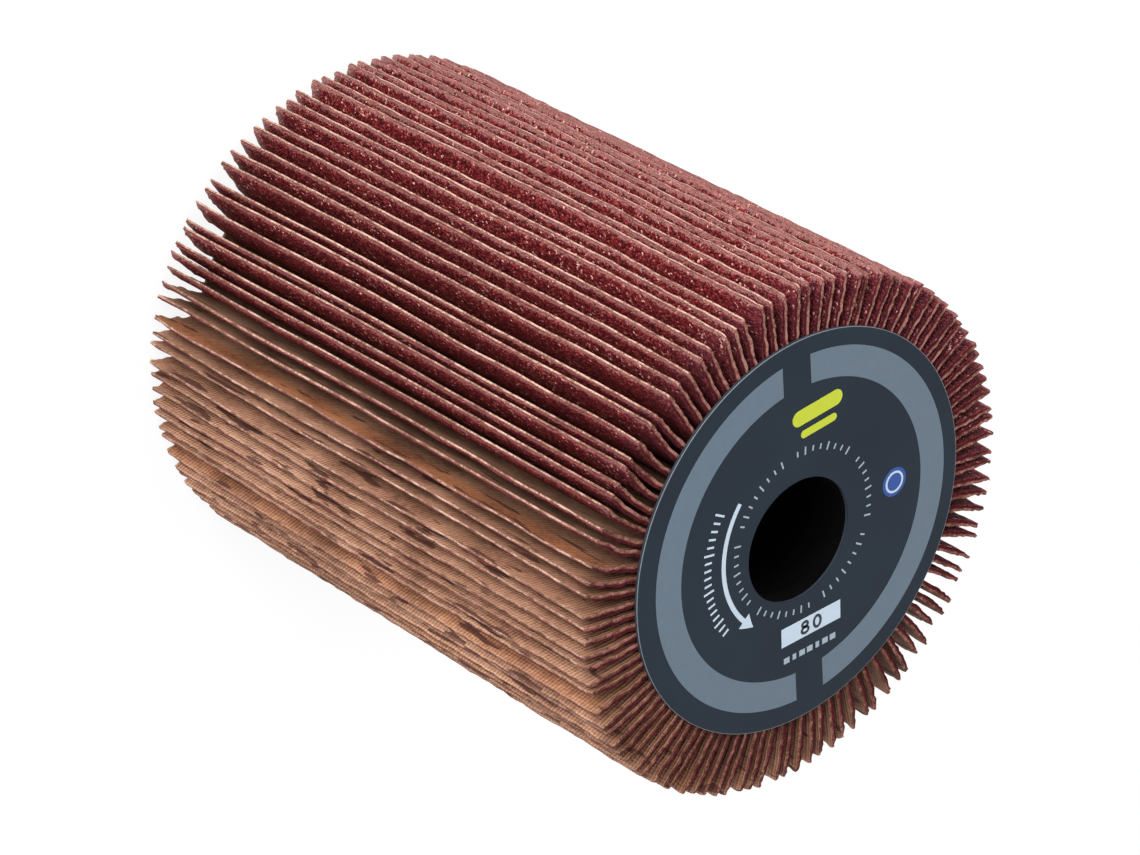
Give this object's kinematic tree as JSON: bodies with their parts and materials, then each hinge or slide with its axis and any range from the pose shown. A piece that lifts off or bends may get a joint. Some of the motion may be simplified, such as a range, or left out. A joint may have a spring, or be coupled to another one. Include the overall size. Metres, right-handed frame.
{
  "type": "flap wheel",
  "caption": "Drum of abrasive cloth leaves cast in a resin ring round a plain bore, with a printed disc on one end, for satin finishing of metal and wood.",
  "frame": {"origin": "on the wheel's axis, in the plane of the plain end that it stands on", "axes": "+Z along the axis towards the printed end; +X and +Y are square to it, and the picture looks from -Y and above"},
  "size_m": [0.0799, 0.0799, 0.1],
  "materials": {
    "tube": "dark resin-bonded paper tube",
    "abrasive_cloth": "maroon abrasive grain on tan cotton cloth",
    "printed_board": "dark slate print on board with a satin varnish",
    "plain_board": "plain brown board"
  },
  "bodies": {
    "root": {"core_tube": "tube", "flap_pack": "abrasive_cloth", "label_disc": "printed_board", "rear_disc": "plain_board"}
  },
  "joints": []
}
